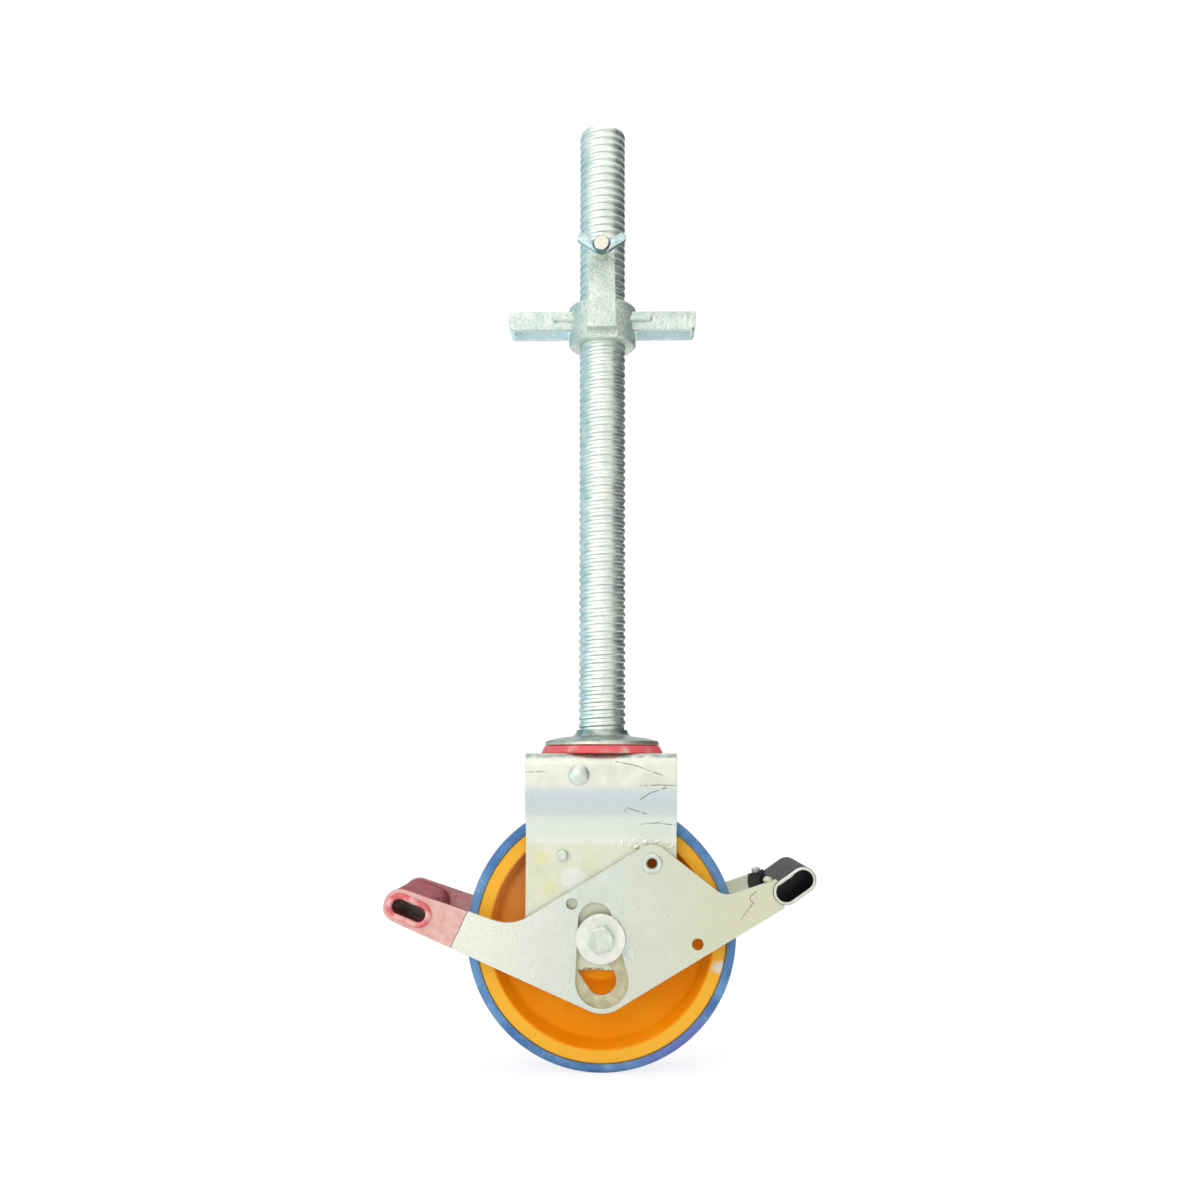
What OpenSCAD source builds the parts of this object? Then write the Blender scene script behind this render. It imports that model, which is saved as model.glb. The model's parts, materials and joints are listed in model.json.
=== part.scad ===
// Scaffold castor with a threaded spindle, adjusting nut, swivel fork, load-centring brake lever
// and a polyurethane-tyred wheel.
// Millimetres. The origin is on the floor below the spindle's axis, +Z is up, +X points to the
// release tread, and +Y runs along the axle away from the front side.
// The brake is on: the axle stands under the spindle and the tyre lies against the brake block.

/* [Overall] */
// Height from the floor to the top end of the spindle
overall_h = 735; // [600:1:900]
// Wheel diameter over the tyre
wheel_d = 200; // [190:1:230]
// Height of the fork's crown above the top of the tyre
crown_gap = 34; // [32:0.5:50]

/* [Wheel] */
// Width of the tyre
tyre_w = 50; // [40:0.5:54]
// Thickness of the tyre on its core
tyre_t = 7; // [4:0.5:12]
// Radius of the tyre's shoulders
shoulder_r = 5; // [2:0.5:6]
// Width of the flat ring on the rim's face
rim_face = 9; // [5:0.5:14]
// Depth of the web below the rim's face
web_recess = 12; // [6:0.5:15]
// Diameter of the hub
hub_d = 66; // [56:1:80]

/* [Bearings and axle] */
// Outer diameter of the ball bearings
bearing_d = 47; // [42:1:50]
// Width of the ball bearings
bearing_w = 14; // [10:0.5:16]
// Outer diameter of the sleeve between the fork's legs
sleeve_d = 20; // [17:0.5:22]
// Balls in one wheel bearing
bearing_balls_n = 9; // [6:1:9]
// Thread diameter of the axle bolt
bolt_d = 12; // [10:1:14]
// Width across flats of the axle bolt's head and nut
bolt_af = 18; // [16:1:22]
// Diameter of the axle washers
washer_d = 36; // [30:0.5:40]
// Thickness of the axle washers
washer_t = 3; // [2:0.5:4]
// Diameter of the bush that runs in the cam slot
bush_d = 21.2; // [20:0.2:22]
// Diameter of the bush's shank in the fork's slot
shank_d = 16; // [15:0.5:18]

/* [Fork] */
// Width of the fork along X
fork_w = 111; // [100:1:130]
// Sheet thickness of the fork
sheet_t = 5; // [4:0.5:6]
// Gap between the fork's legs at the hub
leg_gap = 59; // [56:0.5:64]
// Depth of the fork over its crown
crown_depth = 92; // [88:0.5:100]
// Height of the straight flange below the crown's top
flange_drop = 24; // [22:0.5:30]
// Distance from the axle down to the ends of the legs
leg_below = 23.5; // [18:0.5:30]

/* [Swivel] */
// Diameter of the swivel flange
flange_d = 88; // [84:1:92]
// Thickness of the swivel flange
flange_t = 5.5; // [4:0.5:8]
// Height of the ball gap between the fork's crown and the flange
race_gap = 6; // [5:0.5:8]
// Outer diameter of the seal ring
seal_d = 93.5; // [90:0.5:98]
// Diameter of the king pin
king_d = 24; // [20:1:26]
// Balls in the upper race
upper_balls_n = 28; // [16:1:29]
// Balls in the lower race
lower_balls_n = 20; // [12:1:20]

/* [Spindle] */
// Diameter over the thread
spindle_d = 36; // [32:0.5:40]
// Pitch of the thread
pitch = 6; // [5:0.5:8]
// Depth of the thread
thread_depth = 1.3; // [0.8:0.1:2]
// Bore of the spindle tube
spindle_bore = 26; // [20:0.5:28]

/* [Adjusting nut] */
// Height of the nut's foot above the swivel flange
nut_height = 311; // [60:1:340]
// Height of the nut's hub
nut_h = 31; // [24:0.5:36]
// Diameter of the nut's hub
nut_d = 53; // [51:0.5:60]
// Distance between the ends of the nut's arms
arm_span = 147; // [120:1:180]
// Height of the arms
arm_h = 14.5; // [12:0.5:18]
// Depth of the arms along Y
arm_depth = 24; // [20:0.5:30]
// Outer diameter of the tube that stands on the nut
standard_d = 48.3; // [46:0.1:50]
// Height of the tongue above the hub
tongue_h = 42; // [30:0.5:60]
// Thickness of the tongue
tongue_t = 6; // [5:0.5:8]
// Thread diameter of the wing bolt
wing_bolt_d = 8; // [6:0.5:9]

/* [Lever] */
// Angle that the lever swings from braked to released
lever_swing = 20; // [12:0.5:20]
// Axle travel for each degree of swing
travel_per_deg = 1.45; // [1.3:0.01:1.46]
// Distance of the lever's pivot from the spindle's axis
pivot_x = 37.3; // [36:0.1:39]
// Height of the lever's pivot above the axle
pivot_rise = 54; // [53:0.1:58]
// Thickness of the lever plates
lever_t = 4; // [3:0.5:5]
// Thickness of the cam plates
cam_t = 3; // [2.5:0.5:4]
// Corner radius of the lever round its pivot
pivot_corner_r = 13.5; // [12:0.5:14]
// Long diameter of the oval tread tubes
tube_long = 34; // [30:0.5:38]
// Short diameter of the oval tread tubes
tube_short = 19; // [16:0.5:22]
// Wall of the tread tubes
tube_wall = 2.3; // [1.5:0.1:3]

/* [Clearances] */
// Radial running clearance of pins and threads
run_clear = 0.06; // [0.02:0.01:0.1]
// Radial clearance of pieces pressed or bonded together
seat_clear = 0.02; // [0.01:0.01:0.04]
// Gap between faces that slide past each other
slide_gap = 0.3; // [0.2:0.05:0.4]

/* [Hidden] */
$fn = 72;
arc_steps = 10;
// The band of a bar lies this far inside its two circles, so that their edges cross cleanly
band_inset = 0.02;

// Heights along the spindle's axis
axle_z = wheel_d / 2;
fork_top = wheel_d + crown_gap;
flange_z = fork_top + race_gap;
flange_top = flange_z + flange_t;
neck_h = 6.5;
flange_rim = 3.4;
neck_z = flange_top + neck_h;
nut_z = flange_top + nut_height;
nut_top = nut_z + nut_h;

// Planes across the fork, as distances from its middle
leg_in = leg_gap / 2;
hub_gap = 0.5;
leg_out = leg_in + sheet_t;
cam_in = leg_out + slide_gap;
plate_in = cam_in + cam_t;
plate_out = plate_in + lever_t;
washer_in = plate_out + slide_gap;
washer_out = washer_in + washer_t;
hub_half = leg_in - hub_gap;
sleeve_half = leg_in - slide_gap;
crown_out = crown_depth / 2;
crown_in = crown_out - sheet_t;

// Places in the XZ plane
axle = [0, axle_z];
pivot = [pivot_x, axle_z + pivot_rise];
travel = travel_per_deg * lever_swing;
crown_rivet = [-16, fork_top - 16];

// Wheel
core_r = wheel_d / 2 - tyre_t;
rim_half = tyre_w / 2 - 1;
web_half = rim_half - web_recess;
bearing_r = bearing_d / 2;
bearing_in = hub_half - bearing_w;
ball_path_r = (bearing_r + sleeve_d / 2) / 2;
ball_r = 0.29 * (bearing_r - sleeve_d / 2);
ring_wall = 0.28 * (bearing_r - sleeve_d / 2);
ball_groove_r = ball_r + run_clear;

// Axle
bolt_r = bolt_d / 2;
bolt_head_h = 0.625 * bolt_d;
bolt_nut_h = 0.85 * bolt_d;
bolt_tip = 3;
bush_r = bush_d / 2;
shank_r = shank_d / 2;

// Swivel
king_r = king_d / 2;
king_hole_gap = 0.5;
race_ball_r = race_gap / 2 + 0.3;
race_groove_r = race_ball_r + run_clear;
upper_race_r = 33;
lower_race_r = 23.5;
cup_r = 29;
cup_t = 5;
cup_top = fork_top - sheet_t - race_gap;
king_nut_h = 9;
king_nut_z = cup_top - cup_t - king_nut_h;
king_nut_af = 1.5 * king_d;
king_tip = 2;
seal_wall = 8;
seal_lean = 2.2;

// Spindle
spindle_r = spindle_d / 2;
spindle_root_r = spindle_r - thread_depth;
spigot_r = spindle_bore / 2 - seat_clear;
spigot_h = 14;
plain_end = 2.5;
thread_lead = 1;
thread_root_w = pitch / 6;
thread_flank = pitch / 6;
thread_turns = floor((overall_h - plain_end - neck_z - thread_lead) / pitch);

// Adjusting nut
hub_flat = standard_d / 2 - 0.6;
tongue_in = standard_d / 2 + 0.85;
tongue_out = tongue_in + tongue_t;
tongue_foot = 6;
tongue_w_low = 22.5;
tongue_w_top = 19;
tongue_top = nut_top + tongue_h;
arm_z = nut_z + 10.5;
arm_end_r = 4;
arm_wall = 3.5;
arm_roof = 4.5;
rib_r = 2.6;
rib_set = 0.2;
rib_reach = 37;
wing_z = tongue_top - 9.5;
wing_bolt_r = wing_bolt_d / 2;
wing_neck_l = 13;
wing_head_l = 8;
wing_head_r = wing_bolt_r + 2.2;
wing_t = 4;
wing_tip = [15.2, 4.6];
wing_root = [4, -3.2];
wing_tip_r = 3.4;
wing_root_r = 2.8;

// Fork
crown_bend = 6.5;
joggle_bend = 25;
joggle_run = 4.4;
flange_foot = fork_top - flange_drop;
joggle_top = flange_foot - joggle_run;
joggle_foot = pivot[1] + pivot_corner_r + 1 + joggle_run;
leg_corner = 8;
leg_mid = (leg_in + leg_out) / 2;
crown_mid = (crown_in + crown_out) / 2;
slot_end_gap = 0.3;

// Brake shoe
bracket_t = 3;
bracket_bend = 4;
bracket_z = flange_foot;
bracket_top = fork_top - sheet_t - 4.5;
block_x0 = 31;
block_x1 = 53;
block_half = 22;
block_gap = 0.4;

// Rivets and pins
rivet_r = 5;
rivet_head_r = 7.8;
rivet_head_h = 3.4;
eyelet_r = 6;
eyelet_bore_r = 3.7;
eyelet_head_r = 7.2;
eyelet_head_t = 1.8;
stop_r = 4;
stop_reach = 63.5;
stop_gap = 0.3;
cam_rivet_r = 3.7;

// Lever, with its corner points [x, z, radius] and its tubes measured from the pivot
edge_rise = 31.1;
edge_fall = 37.8;
foot_fall = 24.7;
cam_gap = 0.3;
cam_wall = 9;
cam_steps = 20;
upper_lobe = axle + [-4.2, 13.6];
upper_lobe_r = 12.3;
lower_lobe = axle + [0.8, -30.4];
lower_lobe_r = 19.3;
lower_wall = 3.2;
slot_end = axle + [0.3, -29.8];
release_neck = [53, -24, 14];
release_high = [90.2, -11.4, 0];
release_low = [95.7, -31.8, 0];
brake_neck = [-101.9, -45.7, 30];
brake_tube = pivot + [-177.4, -34.3];
brake_tube_angle = -22.4;
release_tube = pivot + [103.4, -15.8];
release_tube_angle = 35;
tube_border = 2.2;
end_flat = 0.2;
tube_proud = 0.6;
plate_hole_r = 4.2;
plate_holes = [axle + [-21.2, 24.8], axle + [70.2, -3.8]];
cam_rivet_place = axle + [21.4, -10.7];

// Vectors in a plane
function polar(angle, r = 1) = r * [cos(angle), sin(angle)];
function turn(v, angle) = [v[0] * cos(angle) - v[1] * sin(angle), v[0] * sin(angle) + v[1] * cos(angle)];
function unit(v) = v / norm(v);
function heading(v) = atan2(v[1], v[0]);
function short_way(angle) = angle - 360 * round(angle / 360);

// An arc about a centre, as points
function arc(centre, r, from, sweep) =
    [for (i = [0 : arc_steps]) centre + polar(from + sweep * i / arc_steps, r)];

// The corner at b, between a and c, rounded to radius r
function corner(a, b, c, r) = r == 0 ? [b] : let (
    u = unit(a - b),
    v = unit(c - b),
    half = acos(u * v) / 2,
    centre = b + unit(u + v) * r / sin(half),
    from = heading(b + u * r / tan(half) - centre),
    to = heading(b + v * r / tan(half) - centre)
) arc(centre, r, from, short_way(to - from));

function xy(p) = [p[0], p[1]];

// A closed outline through corners [x, y, radius]
function outline(c) = let (n = len(c))
    [for (i = [0 : n - 1]) each corner(xy(c[(i + n - 1) % n]), xy(c[i]), xy(c[(i + 1) % n]), c[i][2])];

// An open line through corners [x, y, radius]
function bent_line(c) = let (n = len(c)) [
    xy(c[0]),
    for (i = [1 : n - 2]) each corner(xy(c[i - 1]), xy(c[i]), xy(c[i + 1]), c[i][2]),
    xy(c[n - 1])
];

// The unit normal on the left of a line at point i
function side(p, i) = let (last = len(p) - 1)
    turn(unit(p[min(i + 1, last)] - p[max(i - 1, 0)]), 90);

// A line moved sideways by d
function beside(p, d) = [for (i = [0 : len(p) - 1]) p[i] + d * side(p, i)];

function backwards(p) = [for (i = [len(p) - 1 : -1 : 0]) p[i]];

// Where two lines tangent to a circle about the origin meet, from their outward normals' angles
function tangent_corner(n1, n2, r) = polar((n1 + n2) / 2, r / cos((n1 - n2) / 2));

// The axle's place on the lever when the lever has swung by an angle, seen from the lever
function cam(angle) = pivot + turn(axle - pivot - [travel_per_deg * angle, 0], angle);

// A sheet of thickness t along a line
module strip(line, t) {
    polygon(concat(beside(line, t / 2), backwards(beside(line, -t / 2))));
}

// The straight band that is tangent to two circles
function band(c1, r1, c2, r2) = let (
    along = heading(c2 - c1),
    lean = 90 + asin((r2 - r1) / norm(c2 - c1))
) [
    c1 + polar(along + lean, r1),
    c2 + polar(along + lean, r2),
    c2 + polar(along - lean, r2),
    c1 + polar(along - lean, r1)
];

// A shape drawn in XZ, carried from y0 to y1
module across(y0, y1) {
    translate([0, y1, 0]) rotate([90, 0, 0]) linear_extrude(y1 - y0) children();
}

// A shape drawn in YZ, carried from x0 to x1
module along_x(x0, x1) {
    translate([x0, 0, 0]) rotate([90, 0, 90]) linear_extrude(x1 - x0) children();
}

// A shape drawn as radius and distance along Y, revolved about a line along Y
module round_y(place) {
    translate([place[0], 0, place[1]]) rotate([-90, 0, 0]) rotate_extrude() children();
}

module pin_y(place, r, y0, y1) {
    across(y0, y1) translate(place) circle(r);
}

// A bar along Y whose section is two circles and the band tangent to both
module bar(c1, r1, c2, r2, y0, y1) {
    pin_y(c1, r1, y0, y1);
    pin_y(c2, r2, y0, y1);
    across(y0, y1) polygon(band(c1, r1 - band_inset, c2, r2 - band_inset));
}

// A bar along Y with an oval section
module oval_bar(place, angle, long, short, y0, y1) {
    half = polar(angle, (long - short) / 2);
    bar(place - half, short / 2, place + half, short / 2, y0, y1);
}

module to_front() {
    mirror([0, 1, 0]) children();
}

module both_sides() {
    children();
    to_front() children();
}

// A ring of balls about Z
module ball_ring(n, path_r, r, z) {
    for (i = [0 : n - 1]) rotate([0, 0, 360 * i / n]) translate([path_r, 0, z]) sphere(r);
}

// A round-bottomed groove for a ring of balls about Z
module race(path_r, r, z) {
    rotate_extrude() translate([path_r, z]) circle(r);
}

// Tube with a thread drawn as rings of the same pitch and depth
module spindle() {
    color("lightsteelblue") rotate_extrude() polygon(concat(
        [[spindle_bore / 2, neck_z], [spindle_root_r, neck_z]],
        [for (i = [0 : thread_turns - 1]) let (z = neck_z + thread_lead + i * pitch) each [
            [spindle_root_r, z],
            [spindle_root_r, z + thread_root_w],
            [spindle_r, z + thread_root_w + thread_flank],
            [spindle_r, z + pitch - thread_flank]
        ]],
        [
            [spindle_root_r, neck_z + thread_lead + thread_turns * pitch],
            [spindle_root_r, overall_h - thread_depth],
            [spindle_root_r - thread_depth, overall_h],
            [spindle_bore / 2, overall_h]
        ]
    ));
}

// Forged head with the king pin below and the spindle's spigot above
module swivel_flange() {
    neck_r = spindle_r + 1.5;
    neck_fillet = neck_h - 1.5;
    shoulder = [0.4 * flange_d, flange_top];
    color("silver") difference() {
        rotate_extrude() polygon(concat(
            [
                [0, king_nut_z - king_tip],
                [king_r - 1, king_nut_z - king_tip],
                [king_r, king_nut_z - king_tip + 1],
                [king_r, flange_z],
                [flange_d / 2 - 0.8, flange_z],
                [flange_d / 2, flange_z + 0.8]
            ],
            corner([flange_d / 2, flange_z + 0.8], [flange_d / 2 - 0.6, flange_z + flange_rim], shoulder, 2),
            [shoulder],
            arc([neck_r + neck_fillet, neck_z], neck_fillet, 270, -90),
            [[spigot_r, neck_z], [spigot_r, neck_z + spigot_h], [0, neck_z + spigot_h]]
        ));
        race(upper_race_r, race_groove_r, flange_z - race_gap / 2);
    }
}

module lower_cup() {
    color("gray") difference() {
        translate([0, 0, cup_top - cup_t]) cylinder(r = cup_r, h = cup_t);
        translate([0, 0, cup_top - cup_t - 1]) cylinder(r = king_r + seat_clear, h = cup_t + 2);
        race(lower_race_r, race_groove_r, cup_top + race_gap / 2);
    }
}

module king_nut() {
    color("darkgray") difference() {
        translate([0, 0, king_nut_z]) cylinder(d = king_nut_af / cos(30), h = king_nut_h, $fn = 6);
        translate([0, 0, king_nut_z - 1]) cylinder(r = king_r + seat_clear, h = king_nut_h + 2);
    }
}

module upper_balls() {
    color("gainsboro") ball_ring(upper_balls_n, upper_race_r, race_ball_r, flange_z - race_gap / 2);
}

module lower_balls() {
    color("gainsboro") ball_ring(lower_balls_n, lower_race_r, race_ball_r, cup_top + race_gap / 2);
}

// Moulded ring that closes the upper ball race
module seal_ring() {
    out_r = seal_d / 2;
    top = flange_z - slide_gap;
    color("crimson") rotate_extrude() polygon([
        [out_r - seal_wall, fork_top],
        [out_r - 0.6, fork_top],
        [out_r, fork_top + 0.6],
        [out_r - seal_lean, top - 0.6],
        [out_r - seal_lean - 0.6, top],
        [out_r - seal_wall, top]
    ]);
}

// One pressed sheet, a crown with two legs set inwards below their flanges
module fork() {
    half_line = bent_line([
        [leg_mid, axle_z - leg_below, 0],
        [leg_mid, joggle_foot, joggle_bend],
        [crown_mid, joggle_top, joggle_bend],
        [crown_mid, fork_top - sheet_t / 2, crown_bend],
        [0, fork_top - sheet_t / 2, 0]
    ]);
    mirrored = [for (p = backwards(half_line)) if (p[0] > 0) [-p[0], p[1]]];
    color("gainsboro") difference() {
        intersection() {
            along_x(-fork_w / 2, fork_w / 2) strip(concat(half_line, mirrored), sheet_t);
            across(-crown_depth, crown_depth) polygon(outline([
                [-fork_w / 2, axle_z - leg_below, leg_corner],
                [fork_w / 2, axle_z - leg_below, leg_corner],
                [fork_w / 2, fork_top + 1, 0],
                [-fork_w / 2, fork_top + 1, 0]
            ]));
        }
        translate([0, 0, fork_top - sheet_t - 1]) cylinder(r = king_r + king_hole_gap, h = sheet_t + 2);
        race(upper_race_r, race_groove_r, flange_z - race_gap / 2);
        race(lower_race_r, race_groove_r, cup_top + race_gap / 2);
        bar(axle - [travel + slot_end_gap, 0], shank_r + run_clear,
            axle + [slot_end_gap, 0], shank_r + run_clear, -crown_depth, crown_depth);
        pin_y(pivot, eyelet_r + seat_clear, -crown_depth, crown_depth);
        pin_y(crown_rivet, rivet_r + seat_clear, -crown_depth, crown_depth);
        pin_y(stop_place(), stop_r + seat_clear, -crown_depth, crown_depth);
    }
}

// Folded bracket under the crown that carries the brake block
module shoe_bracket() {
    mid = crown_in - bracket_t / 2;
    color("darkgray") difference() {
        union() {
            along_x(block_x0 - 2, block_x1) strip(bent_line([
                [mid, bracket_top, 0],
                [mid, bracket_z + bracket_t / 2, bracket_bend],
                [-mid, bracket_z + bracket_t / 2, bracket_bend],
                [-mid, bracket_top, 0]
            ]), bracket_t);
            both_sides() across(crown_in - bracket_t, crown_in) polygon(outline([
                [crown_rivet[0] - 10, crown_rivet[1] - 7, 3],
                [block_x0, crown_rivet[1] - 2, 6],
                [block_x0, bracket_top, 0],
                [crown_rivet[0] - 10, bracket_top, 4]
            ]));
        }
        pin_y(crown_rivet, rivet_r + seat_clear, -crown_depth, crown_depth);
    }
}

// Block whose face follows the tyre when the axle stands under the spindle
module brake_block() {
    color("dimgray") difference() {
        across(-block_half, block_half) polygon([
            [block_x0, axle_z],
            [block_x1, axle_z],
            [block_x1, bracket_z],
            [block_x0, bracket_z]
        ]);
        pin_y(axle, wheel_d / 2 + block_gap, -block_half - 1, block_half + 1);
    }
}

// Domed rivets that hold the shoe bracket to the fork's flanges
module crown_rivets() {
    dome_r = (rivet_head_r ^ 2 + rivet_head_h ^ 2) / (2 * rivet_head_h);
    inner = crown_in - bracket_t;
    color("silver") both_sides() {
        pin_y(crown_rivet, rivet_r, inner, crown_out + 0.5);
        pin_y(crown_rivet, rivet_r + 1.5, inner - 1.5, inner);
        intersection() {
            translate([crown_rivet[0], crown_out + rivet_head_h - dome_r, crown_rivet[1]]) sphere(dome_r);
            pin_y(crown_rivet, rivet_head_r + 1, crown_out, crown_out + rivet_head_h + 1);
        }
    }
}

// Where the stop pin touches the lever's upper edge at the end of its swing
function stop_place() = let (edge = 180 + edge_rise - lever_swing)
    pivot + polar(edge, stop_reach) + polar(edge - 90, pivot_corner_r + stop_r + stop_gap);

// Pins in the fork's legs that end the lever's swing
module stop_pins() {
    tip = plate_out - 1;
    color("silver") both_sides() round_y(stop_place()) polygon(concat(
        [[0, leg_in], [stop_r, leg_in]],
        arc([stop_r - 1.5, tip - 1.5], 1.5, 0, 90),
        [[0, tip]]
    ));
}

// Hollow rivets that the lever turns on
module pivot_rivets() {
    head_z = plate_out + slide_gap;
    round_over = eyelet_head_t / 2;
    color("lightgray") both_sides() round_y(pivot) polygon(concat(
        [
            [eyelet_bore_r, leg_in - eyelet_head_t],
            [eyelet_head_r + 1, leg_in - eyelet_head_t],
            [eyelet_head_r + 1, leg_in],
            [eyelet_r, leg_in],
            [eyelet_r, head_z],
            [eyelet_head_r - round_over, head_z]
        ],
        arc([eyelet_head_r - round_over, head_z + round_over], round_over, -90, 180),
        [[eyelet_bore_r + 1, head_z + eyelet_head_t], [eyelet_bore_r, head_z + eyelet_head_t - 1]]
    ));
}

// Lever plate with its figure-of-eight slot, holes and tube seats
module lever_plate() {
    foot_r = lower_lobe_r + lower_wall;
    top = pivot + tangent_corner(90 + edge_rise, 90 - edge_fall, pivot_corner_r);
    low = lower_lobe + tangent_corner(edge_rise - 90, -90 - foot_fall, foot_r);
    release_end = release_tube - pivot - polar(release_tube_angle, (tube_long - tube_short) / 2);
    release_arm = [release_neck, release_high, [release_end[0], release_end[1], 0], release_low];
    end_r = tube_short / 2 + tube_border;
    end_reach = tube_long / 2 + tube_border;
    end_low = brake_tube - turn([end_reach, end_r], brake_tube_angle);
    end_high = brake_tube - turn([end_reach, -end_r], brake_tube_angle);
    y0 = plate_in - 1;
    y1 = plate_out + 1;
    color("gainsboro") difference() {
        across(plate_in, plate_out) polygon(outline(concat(
            [[top[0], top[1], pivot_corner_r]],
            [for (c = release_arm) [pivot[0] + c[0], pivot[1] + c[1], c[2]]],
            [
                [low[0], low[1], foot_r],
                [end_low[0], end_low[1], end_r - end_flat],
                [end_high[0], end_high[1], end_r - end_flat],
                [pivot[0] + brake_neck[0], pivot[1] + brake_neck[1], brake_neck[2]]
            ]
        )));
        bar(upper_lobe, upper_lobe_r, lower_lobe, lower_lobe_r, y0, y1);
        for (place = plate_holes) pin_y(place, plate_hole_r, y0, y1);
        pin_y(cam_rivet_place, cam_rivet_r + seat_clear, y0, y1);
        pin_y(pivot, eyelet_r + run_clear, y0, y1);
        tube_seat(brake_tube, brake_tube_angle);
        tube_seat(release_tube, release_tube_angle);
    }
}

module tube_seat(place, angle) {
    oval_bar(place, angle, tube_long + 2 * seat_clear, tube_short + 2 * seat_clear,
        plate_in - 1, plate_out + 1);
}

// Inner plate with the cam slot that moves the axle, and a hook where the slot runs on
module cam_plate() {
    line = [for (i = [0 : cam_steps]) cam(lever_swing * i / cam_steps)];
    slot_r = bush_r + cam_gap;
    pivot_r = pivot_corner_r - 0.5;
    r = bush_r + cam_wall;
    foot_r = r + 2;
    y0 = cam_in - 1;
    y1 = plate_in + 1;
    color("darkkhaki") difference() {
        union() {
            bar(pivot, pivot_r, cam(0), r, cam_in, plate_in);
            bar(cam(0), r, cam(lever_swing), r, cam_in, plate_in);
            bar(cam(lever_swing), r, slot_end, foot_r, cam_in, plate_in);
            bar(pivot, pivot_r, slot_end, foot_r, cam_in, plate_in);
        }
        across(y0, y1) strip(line, 2 * slot_r);
        pin_y(line[0], slot_r, y0, y1);
        bar(line[cam_steps], slot_r, slot_end, slot_r, y0, y1);
        pin_y(upper_lobe, upper_lobe_r, y0, y1);
        pin_y(cam_rivet_place, cam_rivet_r + seat_clear, y0, y1);
        pin_y(pivot, eyelet_r + run_clear, y0, y1);
    }
}

// Flush rivets that join each cam plate to its lever plate
module cam_rivets() {
    color("silver") both_sides() pin_y(cam_rivet_place, cam_rivet_r, cam_in, plate_out);
}

// Oval tube welded through both lever plates
module tread_tube(place, angle) {
    end = plate_out + tube_proud;
    difference() {
        oval_bar(place, angle, tube_long, tube_short, -end, end);
        oval_bar(place, angle, tube_long - 2 * tube_wall, tube_short - 2 * tube_wall, -end - 1, end + 1);
    }
}

module brake_tread() {
    color("indianred") tread_tube(brake_tube, brake_tube_angle);
}

module release_tread() {
    color("darkslategray") tread_tube(release_tube, release_tube_angle);
}

module hexagon(af) {
    circle(d = af / cos(30), $fn = 6);
}

// Hexagon bolt that clamps the axle's stack, head at the front
module axle_bolt() {
    color("silver") {
        intersection() {
            across(-washer_out - bolt_head_h, -washer_out) translate(axle) rotate(13) hexagon(bolt_af);
            round_y(axle) polygon([
                [0, -washer_out - bolt_head_h],
                [bolt_af / 2 - 0.4, -washer_out - bolt_head_h],
                [bolt_af, -washer_out - bolt_head_h + bolt_af / 3],
                [bolt_af, -washer_out],
                [0, -washer_out]
            ]);
        }
        pin_y(axle, bolt_r, -washer_out - 1, washer_out + bolt_nut_h + bolt_tip);
    }
}

module axle_nut() {
    color("silver") difference() {
        across(washer_out, washer_out + bolt_nut_h) translate(axle) hexagon(bolt_af);
        pin_y(axle, bolt_r + seat_clear, washer_out - 1, washer_out + bolt_nut_h + 1);
    }
}

module axle_washer() {
    edge = 0.5;
    color("silver") round_y(axle) polygon([
        [bolt_r + seat_clear, washer_in],
        [washer_d / 2, washer_in],
        [washer_d / 2, washer_out - edge],
        [washer_d / 2 - edge, washer_out],
        [bolt_r + seat_clear, washer_out]
    ]);
}

// Stepped bush, its shank in the fork's slot and its head in the cam slot
module cam_bush() {
    step = leg_out + slide_gap / 2;
    color("darkgray") round_y(axle) polygon([
        [bolt_r + seat_clear, sleeve_half],
        [shank_r, sleeve_half],
        [shank_r, step],
        [bush_r, step],
        [bush_r, washer_in],
        [bolt_r + seat_clear, washer_in]
    ]);
}

module axle_sleeve() {
    color("gray") difference() {
        pin_y(axle, sleeve_d / 2, -sleeve_half, sleeve_half);
        pin_y(axle, bolt_r + seat_clear, -sleeve_half - 1, sleeve_half + 1);
    }
}

// One ring of both wheel bearings, with its ball groove
module bearing_rings(r_in, r_out) {
    mid = bearing_in + bearing_w / 2;
    both_sides() round_y(axle) difference() {
        translate([r_in, bearing_in]) square([r_out - r_in, bearing_w]);
        translate([ball_path_r, mid]) circle(ball_groove_r);
    }
}

module bearing_inner_rings() {
    bore_r = sleeve_d / 2 + seat_clear;
    color("silver") bearing_rings(bore_r, bore_r + ring_wall);
}

module bearing_outer_rings() {
    color("silver") bearing_rings(bearing_r - ring_wall, bearing_r);
}

module bearing_balls() {
    mid = bearing_in + bearing_w / 2;
    color("gainsboro") translate([axle[0], 0, axle[1]]) rotate([-90, 0, 0]) {
        ball_ring(bearing_balls_n, ball_path_r, ball_r, mid);
        ball_ring(bearing_balls_n, ball_path_r, ball_r, -mid);
    }
}

// Moulded core, with a dished web between the hub and the rim
module wheel_core() {
    hub_r = hub_d / 2;
    seat_r = bearing_r + seat_clear;
    wall_r = core_r - rim_face;
    web_out = wall_r - 7;
    half = concat(
        [
            [seat_r - 2, bearing_in],
            [seat_r, bearing_in],
            [seat_r, hub_half],
            [hub_r - 2, hub_half],
            [hub_r - 1, hub_half - 1]
        ],
        arc([hub_r + 4, web_half + 6], 4, 180, 90),
        [[(hub_r + web_out) / 2, web_half]],
        arc([web_out - 3, web_half + 4], 4, -90, 60),
        arc([wall_r - 1, rim_half - 1], 1, 180, -90),
        arc([core_r - 1.5, rim_half - 1.5], 1.5, 90, -90)
    );
    color("darkorange") round_y(axle) polygon(concat(half, [for (p = backwards(half)) [p[0], -p[1]]]));
}

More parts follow.
